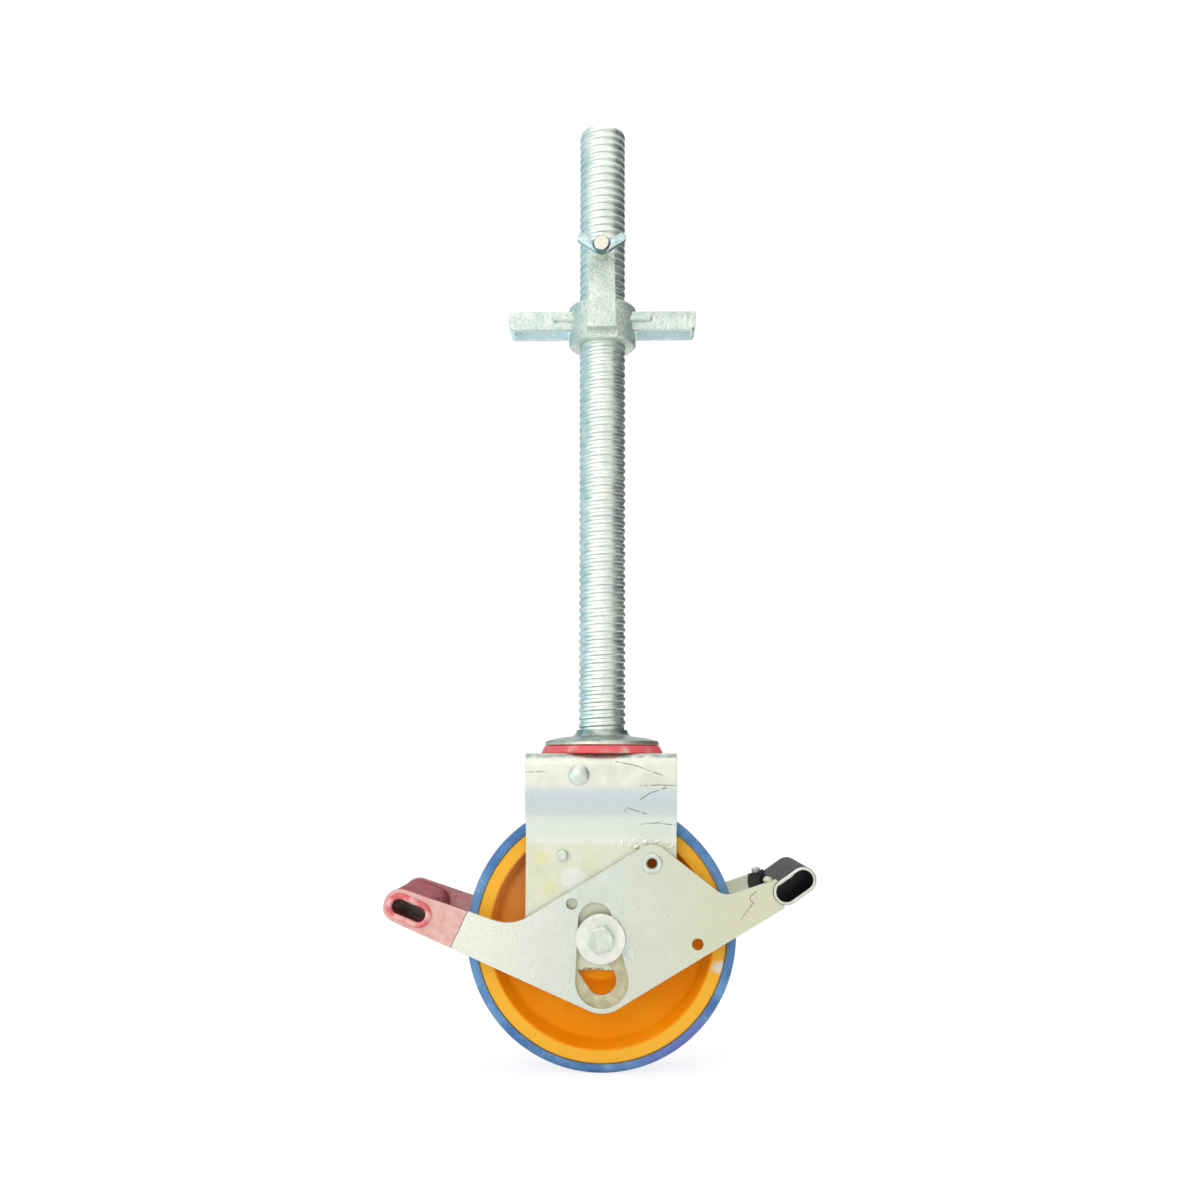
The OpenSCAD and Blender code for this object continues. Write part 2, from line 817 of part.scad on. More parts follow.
// Cast tyre with rounded shoulders
module tyre() {
    in_r = core_r + seat_clear;
    out_r = wheel_d / 2;
    half_w = tyre_w / 2;
    color("steelblue") round_y(axle) polygon(concat(
        [[in_r, -half_w]],
        arc([out_r - shoulder_r, shoulder_r - half_w], shoulder_r, -90, 90),
        arc([out_r - shoulder_r, half_w - shoulder_r], shoulder_r, 0, 90),
        [[in_r, half_w]]
    ));
}

// One arm of the nut, a channel open below with a rib running out from the hub
module nut_arm() {
    end = arm_span / 2;
    root = nut_d / 2 - 6;
    difference() {
        across(-arm_depth / 2, arm_depth / 2) polygon(outline([
            [root, arm_z, 0],
            [end, arm_z, arm_end_r],
            [end, arm_z + arm_h, 1.5],
            [root, arm_z + arm_h, 0]
        ]));
        translate([nut_d / 2 + 1, arm_wall - arm_depth / 2, arm_z - 1])
            cube([end - arm_wall - nut_d / 2 - 1, arm_depth - 2 * arm_wall, arm_h - arm_roof + 1]);
    }
    both_sides() translate([0, arm_depth / 2 - rib_set, arm_z + 0.6 * arm_h]) {
        translate([root, 0, 0]) rotate([0, 90, 0]) cylinder(r = rib_r, h = rib_reach - root);
        translate([rib_reach, 0, 0]) sphere(rib_r);
    }
}

// Casting with a threaded hub, two arms and a tongue that stands beside the tube on the seat
module adjusting_nut() {
    foot_z = nut_z + tongue_foot;
    color("lightsteelblue") difference() {
        union() {
            difference() {
                rotate_extrude() polygon([
                    [0, nut_z],
                    [nut_d / 2 - 1.5, nut_z],
                    [nut_d / 2, nut_z + 1.5],
                    [nut_d / 2, nut_top - 1],
                    [nut_d / 2 - 1, nut_top],
                    [0, nut_top]
                ]);
                translate([-nut_d, -hub_flat - nut_d, nut_z - 1]) cube([2 * nut_d, nut_d, nut_h + 2]);
            }
            nut_arm();
            mirror([1, 0, 0]) nut_arm();
            across(-tongue_out, -tongue_in) polygon(outline([
                [-tongue_w_low / 2, foot_z, 1],
                [tongue_w_low / 2, foot_z, 1],
                [tongue_w_top / 2, tongue_top, 4],
                [-tongue_w_top / 2, tongue_top, 4]
            ]));
            translate([-tongue_w_low / 2 + 0.5, -tongue_in - 0.5, foot_z])
                cube([tongue_w_low - 1, tongue_in - hub_flat + 1, nut_top - foot_z - 1]);
        }
        translate([0, 0, nut_z - 1]) cylinder(r = spindle_r + run_clear, h = nut_h + 2);
        pin_y([0, wing_z], wing_bolt_r + run_clear, -tongue_out - 1, -tongue_in + 1);
    }
}

// Clamping screw in the tongue, with two wings on its head
module wing_bolt() {
    face = -tongue_out - wing_neck_l - wing_head_l;
    wing_y = face + 1.5;
    place = [0, wing_z];
    color("lightgray") {
        pin_y(place, wing_bolt_r, face + wing_head_l - 1, -tongue_in);
        round_y(place) polygon([
            [0, face],
            [wing_head_r - 0.8, face],
            [wing_head_r, face + 0.8],
            [wing_head_r, face + wing_head_l],
            [wing_bolt_r + 1, face + wing_head_l + 3],
            [wing_bolt_r + 1, -tongue_out - slide_gap],
            [0, -tongue_out - slide_gap]
        ]);
        for (way = [-1, 1]) bar(place + [way * wing_root[0], wing_root[1]], wing_root_r,
            place + [way * wing_tip[0], wing_tip[1]], wing_tip_r, wing_y, wing_y + wing_t);
    }
}

spindle();
swivel_flange();
lower_cup();
king_nut();
upper_balls();
lower_balls();
seal_ring();
fork();
shoe_bracket();
brake_block();
crown_rivets();
stop_pins();
pivot_rivets();
to_front() lever_plate();  // lever_plate_front
lever_plate();  // lever_plate_rear
to_front() cam_plate();  // cam_plate_front
cam_plate();  // cam_plate_rear
cam_rivets();
brake_tread();
release_tread();
axle_bolt();
axle_nut();
to_front() axle_washer();  // washer_front
axle_washer();  // washer_rear
to_front() cam_bush();  // cam_bush_front
cam_bush();  // cam_bush_rear
axle_sleeve();
bearing_inner_rings();
bearing_outer_rings();
bearing_balls();
wheel_core();
tyre();
adjusting_nut();
wing_bolt();
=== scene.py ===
# Scaffold castor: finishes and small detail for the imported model, in metres, in the model's own frame
import json

import bmesh
import bpy
import numpy as np
from mathutils import Matrix, Vector


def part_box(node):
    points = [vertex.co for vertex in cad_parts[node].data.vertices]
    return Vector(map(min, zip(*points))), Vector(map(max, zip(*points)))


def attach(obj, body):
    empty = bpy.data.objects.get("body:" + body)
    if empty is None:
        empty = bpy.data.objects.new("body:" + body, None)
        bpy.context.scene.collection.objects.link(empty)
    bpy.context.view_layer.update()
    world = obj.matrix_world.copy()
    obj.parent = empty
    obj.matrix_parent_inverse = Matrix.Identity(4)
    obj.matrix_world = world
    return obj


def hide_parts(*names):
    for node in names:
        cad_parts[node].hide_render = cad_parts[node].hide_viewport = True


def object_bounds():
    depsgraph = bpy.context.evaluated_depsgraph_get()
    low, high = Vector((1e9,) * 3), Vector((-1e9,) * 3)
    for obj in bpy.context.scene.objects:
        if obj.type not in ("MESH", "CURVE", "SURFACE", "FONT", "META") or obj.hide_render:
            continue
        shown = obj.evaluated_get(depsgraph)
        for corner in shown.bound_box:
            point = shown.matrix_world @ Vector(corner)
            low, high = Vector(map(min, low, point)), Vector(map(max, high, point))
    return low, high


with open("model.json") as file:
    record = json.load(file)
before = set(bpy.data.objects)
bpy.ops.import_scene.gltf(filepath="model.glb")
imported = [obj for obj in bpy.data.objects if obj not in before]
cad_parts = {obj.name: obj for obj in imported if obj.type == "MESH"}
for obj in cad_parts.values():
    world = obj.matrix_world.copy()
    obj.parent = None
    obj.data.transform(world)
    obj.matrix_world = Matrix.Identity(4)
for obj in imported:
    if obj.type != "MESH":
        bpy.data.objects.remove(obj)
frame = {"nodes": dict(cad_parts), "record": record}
cadBox = [list(corner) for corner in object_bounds()]
nodes = frame["nodes"]
slotOf = {row["node"]: row["material_slot"] for row in frame["record"]["subparts"]}
mm = 0.001
print("castor: frame loaded with", len(nodes), "nodes")


# sRGB hex to linear, with alpha 1
def linear(hexColour):
    srgb = np.array([int(hexColour[i:i + 2], 16) for i in (1, 3, 5)]) / 255
    rgb = np.where(srgb <= 0.04045, srgb / 12.92, ((srgb + 0.055) / 1.055) ** 2.4)
    return (*rgb.tolist(), 1.0)


# a socket takes a link from another socket, a hex colour or a plain value
def setSocket(tree, socket, value):
    if isinstance(value, bpy.types.NodeSocket):
        tree.links.new(value, socket)
    else:
        socket.default_value = linear(value) if isinstance(value, str) else value


# adds a node with its inputs and settings, and gives back one of its outputs; a colour Mix has its share at
# 0, its colours at 6 and 7 and its result at 2, and MapRange has its value at 0, then from and to, low first
def addNode(tree, kind, inputs=None, out=0, **settings):
    item = tree.nodes.new("ShaderNode" + kind)
    for key, value in settings.items():
        setattr(item, key, value)
    for key, value in (inputs or {}).items():
        setSocket(tree, item.inputs[key], value)
    return item.outputs[out]


# a material, a function that adds nodes to it, and its Object coordinates
def startMaterial(name):
    material = bpy.data.materials.new(name)
    material.use_nodes = True

    def add(kind, inputs=None, out=0, **settings):
        return addNode(material.node_tree, kind, inputs, out, **settings)

    return material, add, add("TexCoord", out=3)


# settings of the shader by socket name; height in 0 to 1 gives relief, edge rounds sharp corners, both in mm
def finishShader(material, add, settings, height=None, depth=0.0, edge=0.5):
    shader = material.node_tree.nodes["Principled BSDF"]
    normal = add("Bevel", {"Radius": edge * mm}, samples=4) if edge else None
    if height is not None:
        relief = {"Height": height, "Distance": depth * mm}
        normal = add("Bump", {**relief, "Normal": normal} if edge else relief)
    for key, value in settings.items():
        setSocket(material.node_tree, shader.inputs[key], value)
    if normal is not None:
        setSocket(material.node_tree, shader.inputs["Normal"], normal)
    return material


# noise with a grain in millimetres, stretched so that low gives 0 and high gives 1; a look below holds these
# numbers as one entry, in this order
def patches(add, place, grain, low, high, detail=4.0, warp=0.0):
    noise = add("TexNoise", {"Vector": place, "Scale": 1 / (grain * mm), "Detail": detail,
                             "Distortion": warp})
    return add("MapRange", {0: noise, 1: low, 2: high})


# 1 between two places in millimetres along an axis, with a soft edge on both sides
def between(add, value, low, high, soft):
    rise = add("MapRange", {0: value, 1: (low - soft) * mm, 2: (low + soft) * mm},
               interpolation_type="SMOOTHSTEP")
    fall = add("MapRange", {0: value, 1: (high + soft) * mm, 2: (high - soft) * mm},
               interpolation_type="SMOOTHSTEP")
    return add("Math", {0: rise, 1: fall}, operation="MULTIPLY")


# 1 inside a round spot about a point in XZ, fading over soft millimetres; ragged is a share of the radius
def spot(add, place, centre, radius, soft, ragged=0.3):
    edgeGrain = 0.7 * radius * mm
    flat = add("VectorMath", {0: place, 1: (1.0, 0.0, 1.0)}, operation="MULTIPLY")
    reach = add("VectorMath", {0: flat, 1: (centre[0] * mm, 0.0, centre[1] * mm)}, 1, operation="DISTANCE")
    noise = add("TexNoise", {"Vector": place, "Scale": 1 / edgeGrain, "Detail": 3.0})
    shift = add("MapRange", {0: noise, 3: -ragged * radius * mm, 4: ragged * radius * mm})
    rough = add("Math", {0: reach, 1: shift}, operation="ADD")
    return add("MapRange", {0: rough, 1: (radius + soft) * mm, 2: (radius - soft) * mm})


# fade at a scratch's ends in mm, the share of its width that is full, and the patches that break it up
scratchLook = {"fade": 0.3, "core": 0.3, "breaks": (2.5, 0.35, 0.55)}


# 1 along a scratch through points in XZ; each stretch is a box about its own middle, and the strongest wins
def scratch(add, place, points, width):
    mask = None
    for first, last in zip(np.array(points[:-1]) * mm, np.array(points[1:]) * mm):
        middle = (first + last) / 2
        half = np.linalg.norm(last - first) / 2
        turn = -np.arctan2(last[1] - first[1], last[0] - first[0])
        local = add("Mapping", {"Vector": place, "Location": (middle[0], 0.0, middle[1]),
                                "Rotation": (0.0, turn, 0.0)}, vector_type="TEXTURE")
        along, over = (add("Math", {0: add("SeparateXYZ", {0: local}, i)}, operation="ABSOLUTE")
                       for i in (0, 2))
        inLength = add("MapRange", {0: along, 1: half + scratchLook["fade"] * mm, 2: half})
        inWidth = add("MapRange", {0: over, 1: width * mm, 2: width * scratchLook["core"] * mm})
        stretch = add("Math", {0: inLength, 1: inWidth}, operation="MULTIPLY")
        mask = stretch if mask is None else add("Math", {0: mask, 1: stretch}, operation="MAXIMUM")
    return add("Math", {0: mask, 1: patches(add, place, *scratchLook["breaks"])}, operation="MULTIPLY")


# oval tread tubes in XZ, in mm; curl is how far the middle of a lip lies inside the middle of its wall
treads = {"brake": {"centre": (-140.1, 119.7), "angle": -22.4, "lip": 2.1, "curl": 0.9},
          "release": {"centre": (140.7, 138.2), "angle": 35.0, "lip": 1.1, "curl": 0.1},
          "long": 34.0, "short": 19.0, "wall": 2.3, "end": 42.4, "columns": 12, "rows": 96}


# distance in metres from the line between the middles of a tube's two caps, which is half the short side on
# its skin
def ovalReach(add, place, tread):
    turn = -np.radians(tread["angle"])
    centre = np.array(tread["centre"]) * mm
    local = add("Mapping", {"Vector": place, "Location": (centre[0], 0.0, centre[1]),
                            "Rotation": (0.0, turn, 0.0)}, vector_type="TEXTURE")
    along = add("Math", {0: add("SeparateXYZ", {0: local}, 0)}, operation="ABSOLUTE")
    half = (treads["long"] - treads["short"]) / 2 * mm
    past = add("Math", {0: along, 1: half}, operation="SUBTRACT")
    beyond = add("Math", {0: past, 1: 0.0}, operation="MAXIMUM")
    over = add("SeparateXYZ", {0: local}, 2)
    return add("VectorMath", {0: add("CombineXYZ", {0: beyond, 1: over})}, 1, operation="LENGTH")


# a grid of points (rows, columns, 3) as quads, closed round the columns, and round the rows if asked; the
# ring of points at a pole lies on one place, and becomes one point
def gridPiece(name, points, closeRows=False):
    samePlace = 1e-6
    rows, columns = points.shape[:2]
    first = np.arange(rows if closeRows else rows - 1)[:, None]
    column = np.arange(columns)[None, :]
    after = (first + 1) % rows
    beside = (column + 1) % columns
    corners = [first * columns + column, first * columns + beside,
               after * columns + beside, after * columns + column]
    faces = np.stack([np.broadcast_to(c, (first.size, columns)) for c in corners], axis=-1).reshape(-1, 4)
    mesh = bpy.data.meshes.new(name)
    mesh.from_pydata(points.reshape(-1, 3).tolist(), [], faces.tolist())
    mesh.polygons.foreach_set("use_smooth", np.ones(len(mesh.polygons), bool))
    shell = bmesh.new()
    shell.from_mesh(mesh)
    bmesh.ops.remove_doubles(shell, verts=shell.verts, dist=samePlace)
    bmesh.ops.recalc_face_normals(shell, faces=shell.faces)
    shell.to_mesh(mesh)
    shell.free()
    piece = bpy.data.objects.new(name, mesh)
    bpy.context.scene.collection.objects.link(piece)
    return piece


# gives a new piece its finish and its body, and hides the nodes that it is shown in place of
def dress(piece, material, body, slot, *replaced):
    piece.data.materials.append(material)
    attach(piece, body)
    if replaced:
        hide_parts(*replaced)


# camera at the photograph's place, in mm and degrees; focal length and optical centre in pixels of a 1200 by
# 1200 picture
cameraView = {"eye": (15.1, -888.8, 228.6), "yaw": -1.06, "pitch": 5.32, "roll": 0.07,
              "focal": 1147.0, "centre": (600.4, 653.8), "picture": 1200.0, "sensor": 36.0, "clip": 10.0}


def placeCamera(view):
    yaw, pitch, roll = np.radians([view["yaw"], view["pitch"], view["roll"]])
    ahead = np.array([np.sin(yaw) * np.cos(pitch), np.cos(yaw) * np.cos(pitch), np.sin(pitch)])
    level = np.array([np.cos(yaw), -np.sin(yaw), 0.0])
    over = np.cross(level, ahead)
    right = level * np.cos(roll) + over * np.sin(roll)
    up = over * np.cos(roll) - level * np.sin(roll)
    lens = bpy.data.cameras.new("photoCamera")
    lens.sensor_fit = "HORIZONTAL"
    lens.sensor_width = view["sensor"]
    lens.lens = view["sensor"] * view["focal"] / view["picture"]
    lens.shift_x = 0.5 - view["centre"][0] / view["picture"]
    lens.shift_y = view["centre"][1] / view["picture"] - 0.5
    lens.clip_start = view["clip"] * mm
    camera = bpy.data.objects.new("photoCamera", lens)
    turn = Matrix(np.stack([right, up, -ahead], axis=1).tolist()).to_4x4()
    camera.matrix_world = Matrix.Translation(np.array(view["eye"]) * mm) @ turn
    bpy.context.scene.collection.objects.link(camera)
    bpy.context.scene.camera = camera


# 1 for rays from the camera, mirrors and glass, which are to see a plain white background
def seenDirectly(tree):
    kinds = ("Is Camera Ray", "Is Glossy Ray", "Is Transmission Ray")
    rays = [addNode(tree, "LightPath", out=kind) for kind in kinds]
    total = addNode(tree, "Math", {0: rays[0], 1: rays[1]}, operation="ADD")
    return addNode(tree, "Math", {0: total, 1: rays[2]}, operation="ADD", use_clamp=True)


# matt white paper floor; what is seen of it is part light of its own, so only the shadow shows
paperLook = {"tone": "#f4f4f2", "rough": 0.9, "ownLight": 1.16, "ownShare": 0.7}


def whitePaper():
    material, add = startMaterial("whitePaper")[:2]
    tree = material.node_tree
    finishShader(material, add, {"Base Color": paperLook["tone"], "Roughness": paperLook["rough"]}, edge=0)
    paper = tree.nodes["Principled BSDF"].outputs[0]
    share = add("MapRange", {0: seenDirectly(tree), 4: paperLook["ownShare"]})
    glow = add("Emission", {"Strength": paperLook["ownLight"]})
    mixed = add("MixShader", {0: share, 1: paper, 2: glow})
    setSocket(tree, tree.nodes["Material Output"].inputs["Surface"], mixed)
    return material


# a card with a light of its own, so its tone doesn't change with the lamps
def glowCard(name, colour):
    material, add = startMaterial(name + "Paint")[:2]
    tree = material.node_tree
    setSocket(tree, tree.nodes["Material Output"].inputs["Surface"], add("Emission", {"Color": colour}))
    return material


def stagePiece(name, corners, material):
    mesh = bpy.data.meshes.new(name)
    mesh.from_pydata(corners, [], [(0, 1, 2, 3)])
    mesh.materials.append(material)
    piece = bpy.data.objects.new(name, mesh)
    bpy.context.scene.collection.objects.link(piece)
    return piece


# pale room with a broad key from the left front, cool light low on both sides, and cards at the sides that
# only polished faces see; a lamp is name, place, size, watts and colour, a card is name, X, ends in Y and
# colour, all in metres
studio = {"room": 0.74, "floorSize": 4.0, "aim": (0.0, 0.0, 0.35),
          "lamps": [("key", (-0.75, -1.5, 0.95), 1.1, 7.5, "#fffaf0"),
                    ("top", (0.2, -0.3, 1.9), 1.2, 5.0, "#ffffff"),
                    ("lowLeft", (-0.8, -0.3, 0.1), 0.4, 1.4, "#b4e8f2"),
                    ("lowRight", (0.8, -0.3, 0.1), 0.4, 0.25, "#b4e8f2")],
          "cards": [("rightCard", 0.62, (-0.4, 1.8), "#1f3238"), ("leftCard", -0.62, (-0.2, 1.8), "#a2d0de")],
          "cardZ": (0.0, 1.2)}


def lightStudio():
    scene = bpy.context.scene
    scene.world = bpy.data.worlds.new("paleRoom")
    scene.world.use_nodes = True
    tree = scene.world.node_tree
    background = tree.nodes["Background"].inputs
    setSocket(tree, background["Strength"],
              addNode(tree, "MapRange", {0: seenDirectly(tree), 3: studio["room"]}))
    setSocket(tree, background["Color"], "#ffffff")
    for name, place, size, power, colour in studio["lamps"]:
        lamp = bpy.data.lights.new(name, "AREA")
        lamp.size = size
        lamp.energy = power
        lamp.color = linear(colour)[:3]
        holder = bpy.data.objects.new(name, lamp)
        holder.location = place
        holder.rotation_euler = (Vector(place) - Vector(studio["aim"])).to_track_quat("Z", "Y").to_euler()
        scene.collection.objects.link(holder)
    reach = studio["floorSize"] / 2
    floorZ = cadBox[0][2]
    floor = stagePiece("floor", [(-reach, -reach, floorZ), (reach, -reach, floorZ), (reach, reach, floorZ),
                                 (-reach, reach, floorZ)], whitePaper())
    z0, z1 = studio["cardZ"]
    for name, x, (y0, y1), colour in studio["cards"]:
        card = stagePiece(name, [(x, y0, z0), (x, y1, z0), (x, y1, z1), (x, y0, z1)], glowCard(name, colour))
        card.visible_camera = card.visible_shadow = card.visible_diffuse = False


# hot-dip zinc on a rolled thread: pale silver with a soft cool mottle, and grey painted shade on the flanks
threadLook = {"metal": ("#dbe5df", "#f1f2e8"), "mottle": (9, 0.38, 0.62), "flankShade": "#7f9291",
              "flankShadePatches": (14, 0.1, 0.6), "flankShadeShare": 0.6, "rough": (0.34, 0.48), "metallic": 0.85,
              "grit": (0.8, 0.3, 0.7), "relief": 0.03}


def zincThread():
    look = threadLook
    material, add, place = startMaterial("hotDipZincThread")
    flank = add("Attribute", out=2, attribute_name="flank")
    mottle = patches(add, place, *look["mottle"])
    metal = add("Mix", {0: mottle, 6: look["metal"][0], 7: look["metal"][1]}, 2, data_type="RGBA")
    # grey painted shade on the thread's flanks, broken up by patches
    held = add("Math", {0: flank, 1: patches(add, place, *look["flankShadePatches"])}, operation="MULTIPLY")
    flankShade = add("Math", {0: held, 1: look["flankShadeShare"]}, operation="MULTIPLY")
    colour = add("Mix", {0: flankShade, 6: metal, 7: look["flankShade"]}, 2, data_type="RGBA")
    roughness = add("MapRange", {0: mottle, 3: look["rough"][0], 4: look["rough"][1]})
    return finishShader(material, add, {"Base Color": colour, "Roughness": roughness,
                                        "Metallic": look["metallic"]},
                        patches(add, place, *look["grit"]), look["relief"], edge=0)


# galvanised sand casting: pale green-white zinc over a coarse grit skin, darker in its pits, and a painted
# cool light in the pockets under the arms; the pockets' ends are in mm, each with its soft edge
castingLook = {"metal": ("#c3d2cd", "#dfe7dc"), "clouds": (16, 0.35, 0.65), "grit": (2.2, 0.3, 0.7, 6.0),
               "relief": 0.4, "pitBelow": 0.4, "pitShare": 0.6, "pits": "#8a9c9a", "pocketLight": "#f0fdff",
               "armFrom": 24.0, "pocketY": (-8.7, 8.7, 0.1), "pocketZ": (565.0, 577.3, 0.2)}


def zincCasting():
    look = castingLook
    material, add, place = startMaterial("galvanisedCasting")
    across, depth, height = (add("SeparateXYZ", {0: place}, i) for i in range(3))
    grit = patches(add, place, *look["grit"])
    clouds = patches(add, place, *look["clouds"])
    metal = add("Mix", {0: clouds, 6: look["metal"][0], 7: look["metal"][1]}, 2, data_type="RGBA")
    pits = add("MapRange", {0: grit, 1: look["pitBelow"], 2: 0.0, 4: look["pitShare"]})
    colour = add("Mix", {0: pits, 6: metal, 7: look["pits"]}, 2, data_type="RGBA")
    outer = add("Math", {0: add("Math", {0: across}, operation="ABSOLUTE"), 1: look["armFrom"] * mm},
                operation="GREATER_THAN")
    # painted light: the pockets under the outer arms are coloured near white
    pocket = add("Math", {0: between(add, depth, *look["pocketY"]),
                          1: between(add, height, *look["pocketZ"])}, operation="MULTIPLY")
    pocket = add("Math", {0: pocket, 1: outer}, operation="MULTIPLY")
    colour = add("Mix", {0: pocket, 6: colour, 7: look["pocketLight"]}, 2, data_type="RGBA")
    return finishShader(material, add, {"Base Color": colour, "Roughness": 0.5, "Metallic": 0.75},
                        grit, look["relief"], edge=0.8)


# bright zinc on a forged wing bolt: glossy and bluish, with a dull cream end to its boss and a ring of
# painted shade round its root; a ring is radius, soft edge and raggedness
screwLook = {"metal": ("#a9c3c7", "#d3e3e3"), "stains": (5, 0.36, 0.64), "boss": (0.0, 620.0),
             # the first ring is painted shade round the boss's root, the second the boss's cream end
             "rings": [((7.2, 0.6, 0.1), "#6d8286"), ((5.5, 0.3, 0.05), "#dfe0cd")],
             "grit": (1.0, 0.3, 0.7), "relief": 0.03}


def zincScrew():
    look = screwLook
    material, add, place = startMaterial("brightZincForging")
    stains = patches(add, place, *look["stains"])
    colour = add("Mix", {0: stains, 6: look["metal"][0], 7: look["metal"][1]}, 2, data_type="RGBA")
    for ring, tone in look["rings"]:
        colour = add("Mix", {0: spot(add, place, look["boss"], *ring), 6: colour, 7: tone},
                     2, data_type="RGBA")
    return finishShader(material, add, {"Base Color": colour, "Roughness": 0.25, "Metallic": 0.9},
                        patches(add, place, *look["grit"]), look["relief"])


# zinc plate on turned and pressed steel: pale satin silver with faint stains and dark pin-pricks; the same
# skin is yellow where it was passivated, dark where the steel is only oiled, and warm on rubbed tube rims;
# each is its low and high tone, roughness and share of metal
plateTones = {"brightZincPlate": ("#c9d0c5", "#dde3d9", 0.4, 0.8),
              "bareTubeRim": ("#cdccbc", "#e4e3d6", 0.4, 0.5),
              "oiledPlainSteel": ("#6d6f6c", "#94968f", 0.4, 0.8),
              "yellowPassivatedZinc": ("#b3aa88", "#ccc6a6", 0.46, 0.8),
              "paleZincWasher": ("#dde0d5", "#edeee7", 0.42, 0.8)}
plateLook = {"stains": (7, 0.36, 0.64), "specks": (1.2, 0.66, 0.72), "speckShare": 0.5, "speck": "#7d8078",
             "grit": (1.0, 0.3, 0.7), "relief": 0.03, "edge": 0.4}


def zincPlate(name):
    look = plateLook
    low, high, roughness, metallic = plateTones[name]
    material, add, place = startMaterial(name)
    stains = patches(add, place, *look["stains"])
    colour = add("Mix", {0: stains, 6: low, 7: high}, 2, data_type="RGBA")
    specks = add("Math", {0: patches(add, place, *look["specks"]), 1: look["speckShare"]},
                 operation="MULTIPLY")
    colour = add("Mix", {0: specks, 6: colour, 7: look["speck"]}, 2, data_type="RGBA")
    return finishShader(material, add, {"Base Color": colour, "Roughness": roughness, "Metallic": metallic},
                        patches(add, place, *look["grit"]), look["relief"], look["edge"])


# zinc-plated forging of the swivel flange: cream on the rim's edge, dull grey-green where the dome rises to
# the spindle; the rim's upper edge is in mm
flangeLook = {"rim": ("#c9c2b0", "#ddd9cb"), "dome": ("#83938d", "#b0bbb3"), "rimEdge": (241.8, 243.4)}


def zincForging():
    material, add, place = startMaterial("stainedZincForging")
    stains = patches(add, place, *plateLook["stains"])
    rim, dome = (add("Mix", {0: stains, 6: flangeLook[part][0], 7: flangeLook[part][1]}, 2, data_type="RGBA")
                 for part in ("rim", "dome"))
    low, high = flangeLook["rimEdge"]
    rise = add("MapRange", {0: add("SeparateXYZ", {0: place}, 2), 1: low * mm, 2: high * mm})
    colour = add("Mix", {0: rise, 6: rim, 7: dome}, 2, data_type="RGBA")
    return finishShader(material, add, {"Base Color": colour, "Roughness": 0.42, "Metallic": 0.8},
                        patches(add, place, *plateLook["grit"]), plateLook["relief"], plateLook["edge"])


# zinc-plated pressed sheet of the fork: satin, with painted shade in flecks along the crown's bend, painted
# cool shade where the joggle leans back and a painted highlight below that, yellowed below that with rub
# marks and a bare round patch, scratched dark at the upper right; places in mm in XZ, a painted light band
# is its ends in Z, soft edge and tone, the painted shade at the bend is measured down from the crown's top,
# spatterZ from the crease, and rubEdge is soft edge and raggedness
forkLook = {"metal": ("#d9dacb", "#e5e7da"), "clouds": (11, 0.36, 0.64), "rough": (0.4, 0.52),
            "paintedLightBands": [((187, 209, 5), "#ccd8d8"), ((168, 187, 5), "#e2e8df")],
            "bend": (3.5, 0.8), "bendSoft": 1.2, "bendPatches": (5, 0.2, 0.6), "bendShade": "#8b9a94",
            "crease": 168, "creaseSoft": 2, "footShare": 0.85, "stains": (22, 0.35, 0.65),
            "foot": ("#d2d4bb", "#dfe0cb"),
            "rubs": [((-44.3, 157.1), 5.0), ((-38.3, 134.6), 5.5)], "rubEdge": (1.5, 0.8),
            "paler": "#dadbb0", "bare": ((-20.7, 142.6), 9.0, 0.8), "bareTone": "#dfe3d8",
            "scratchWidth": 0.45, "scratchTone": "#55564c",
            "scratches": [[(10.8, 227.9), (24.1, 225.5), (35.3, 221.4), (45.2, 217.8)],
                          [(28.2, 210.4), (43.5, 211.0), (55.2, 210.4)],
                          [(28.2, 200.0), (35.3, 204.7), (48.1, 209.2)],
                          [(16.9, 191.7), (19.0, 194.3), (33.3, 189.7)],
                          [(28.8, 182.0), (41.6, 183.2), (54.4, 181.4)],
                          [(-54.9, 220.1), (-40.6, 220.7)]],
            "grease": [(-13.0, 77.3), (1.5, 77.4)], "greaseWidth": 1.3, "greaseTone": "#9a7c3a",
            "pits": (1.4, 0.66, 0.72), "pitShare": 0.5, "pitTone": "#85867a",
            "spatterX": (5, 20), "spatterZ": (-4, 3, 1), "spatter": (3.5, 0.5, 0.75, 1.0),
            "grit": (1.1, 0.3, 0.7), "gritShare": 0.08, "relief": 0.5}


